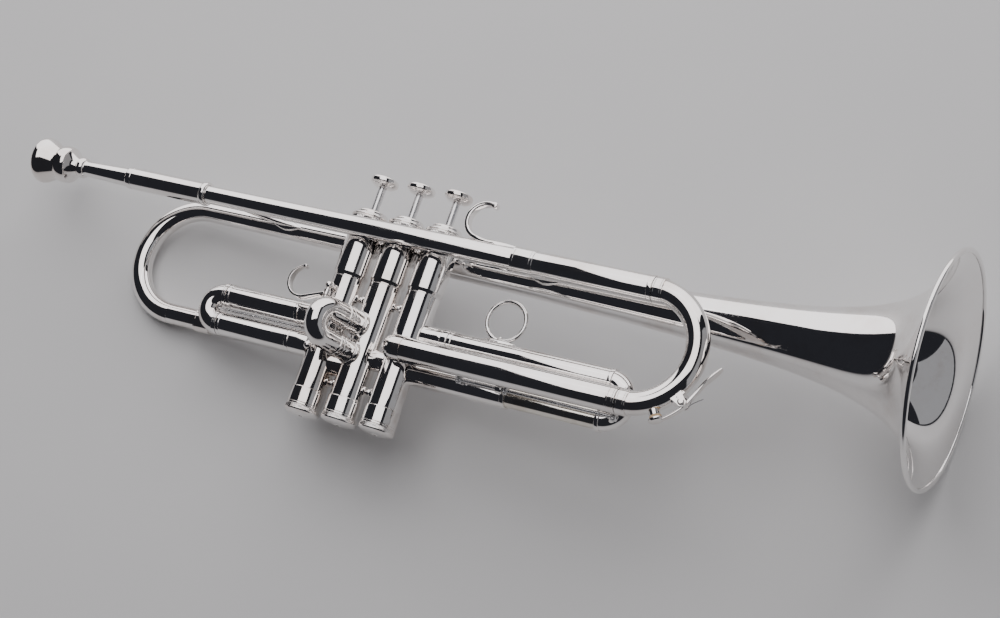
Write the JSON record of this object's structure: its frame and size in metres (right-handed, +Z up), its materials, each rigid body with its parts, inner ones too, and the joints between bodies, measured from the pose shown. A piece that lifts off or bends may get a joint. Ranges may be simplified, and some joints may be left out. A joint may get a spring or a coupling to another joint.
{
  "type": "trumpet",
  "caption": "Piston-valve trumpet lying on its bell side: flared bell, looped tubing, pumping valves, tuning and valve slides, water key and removable mouthpiece.",
  "frame": {"origin": "centre of the bounding box's base, on the ground the part lies on", "axes": "+Z up from the ground, +X from the mouthpiece towards the bell, +Y towards the finger buttons"},
  "size_m": [0.5574, 0.1727, 0.1252],
  "materials": {
    "silver_plate": "polished silver plate",
    "silver_bell": "polished silver plate on the bell",
    "nickel_silver": "polished nickel silver inner tubes",
    "monel": "lapped monel",
    "polished_steel": "polished steel",
    "spring_steel": "drawn spring wire",
    "pearl": "pearl inlay",
    "felt": "dense felt",
    "cork": "cork"
  },
  "bodies": {
    "horn": {"receiver": "silver_plate", "leadpipe": "silver_plate", "ferrules": "silver_plate", "upper_slide_tube": "silver_plate", "lower_slide_tube": "silver_plate", "inlet_knuckle": "silver_plate", "casing_1": "silver_plate", "casing_2": "silver_plate", "casing_3": "silver_plate", "upper_casings": "silver_plate", "crossover_tubes": "silver_plate", "casing_studs": "silver_plate", "top_caps": "silver_plate", "bottom_caps": "silver_plate", "cap_felts": "felt", "valve_guides": "polished_steel", "spring_1": "spring_steel", "spring_2": "spring_steel", "spring_3": "spring_steel", "bell": "silver_bell", "bell_rim": "silver_plate", "bell_bow": "silver_plate", "bell_tail": "silver_plate", "tail_knuckle": "silver_plate", "rear_brace": "silver_plate", "front_brace": "silver_plate", "pinky_hook": "silver_plate", "slide1_sleeves": "silver_plate", "slide2_sleeves": "silver_plate", "slide3_fixed_tube": "nickel_silver", "slide3_low_sleeve": "silver_plate"},
    "mouthpiece": {"mouthpiece": "silver_plate"},
    "valve_1": {"piston_1": "monel", "stem_1": "polished_steel", "button_1": "silver_plate", "pearl_1": "pearl"},
    "valve_2": {"piston_2": "monel", "stem_2": "polished_steel", "button_2": "silver_plate", "pearl_2": "pearl"},
    "valve_3": {"piston_3": "monel", "stem_3": "polished_steel", "button_3": "silver_plate", "pearl_3": "pearl"},
    "main_slide": {"main_crook": "silver_plate", "main_legs": "nickel_silver", "key_saddle": "silver_plate"},
    "water_key": {"key_lever": "silver_plate", "key_cork": "cork"},
    "slide_1": {"slide1_crook": "silver_plate", "slide1_legs": "nickel_silver", "slide1_rod": "polished_steel", "thumb_hook": "silver_plate"},
    "slide_2": {"slide2_crook": "silver_plate", "slide2_legs": "nickel_silver"},
    "slide_3": {"slide3_sleeve": "silver_plate", "slide3_leg": "nickel_silver", "slide3_crook": "silver_plate", "finger_ring": "silver_plate", "stop_rod": "polished_steel"}
  },
  "joints": [
    {"name": "mouthpiece_pull", "type": "slide", "parent": "horn", "child": "mouthpiece", "axis": [-0.9938, 0, -0.1108], "range_m": [0, 0.03]},
    {"name": "valve_1_press", "type": "slide", "parent": "horn", "child": "valve_1", "axis": [0.0136, -0.9924, -0.122], "range_m": [0, 0.0145], "stiffness_N_per_m": 120, "springref_m": -0.02, "deforming": ["spring_1"]},
    {"name": "valve_2_press", "type": "slide", "parent": "horn", "child": "valve_2", "axis": [0.0136, -0.9924, -0.122], "range_m": [0, 0.0145], "stiffness_N_per_m": 120, "springref_m": -0.02, "deforming": ["spring_2"]},
    {"name": "valve_3_press", "type": "slide", "parent": "horn", "child": "valve_3", "axis": [0.0136, -0.9924, -0.122], "range_m": [0, 0.0145], "stiffness_N_per_m": 120, "springref_m": -0.02, "deforming": ["spring_3"]},
    {"name": "main_slide_pull", "type": "slide", "parent": "horn", "child": "main_slide", "axis": [0.9938, 0, 0.1108], "range_m": [0, 0.05]},
    {"name": "water_key_open", "type": "hinge", "parent": "main_slide", "child": "water_key", "pos_m": [0.15415, -0.03587, 0.07676], "axis": [-0.1099, -0.1227, 0.9863], "range_deg": [0, 14], "stiffness_Nm_per_rad": 0.12, "springref_deg": -20.05},
    {"name": "slide_1_pull", "type": "slide", "parent": "horn", "child": "slide_1", "axis": [-0.9938, 0, -0.1108], "range_m": [0, 0.02]},
    {"name": "slide_2_pull", "type": "slide", "parent": "horn", "child": "slide_2", "axis": [-0.4432, -0.1153, 0.889], "range_m": [0, 0.01]},
    {"name": "slide_3_pull", "type": "slide", "parent": "horn", "child": "slide_3", "axis": [0.9938, 0, 0.1108], "range_m": [0, 0.02]}
  ]
}
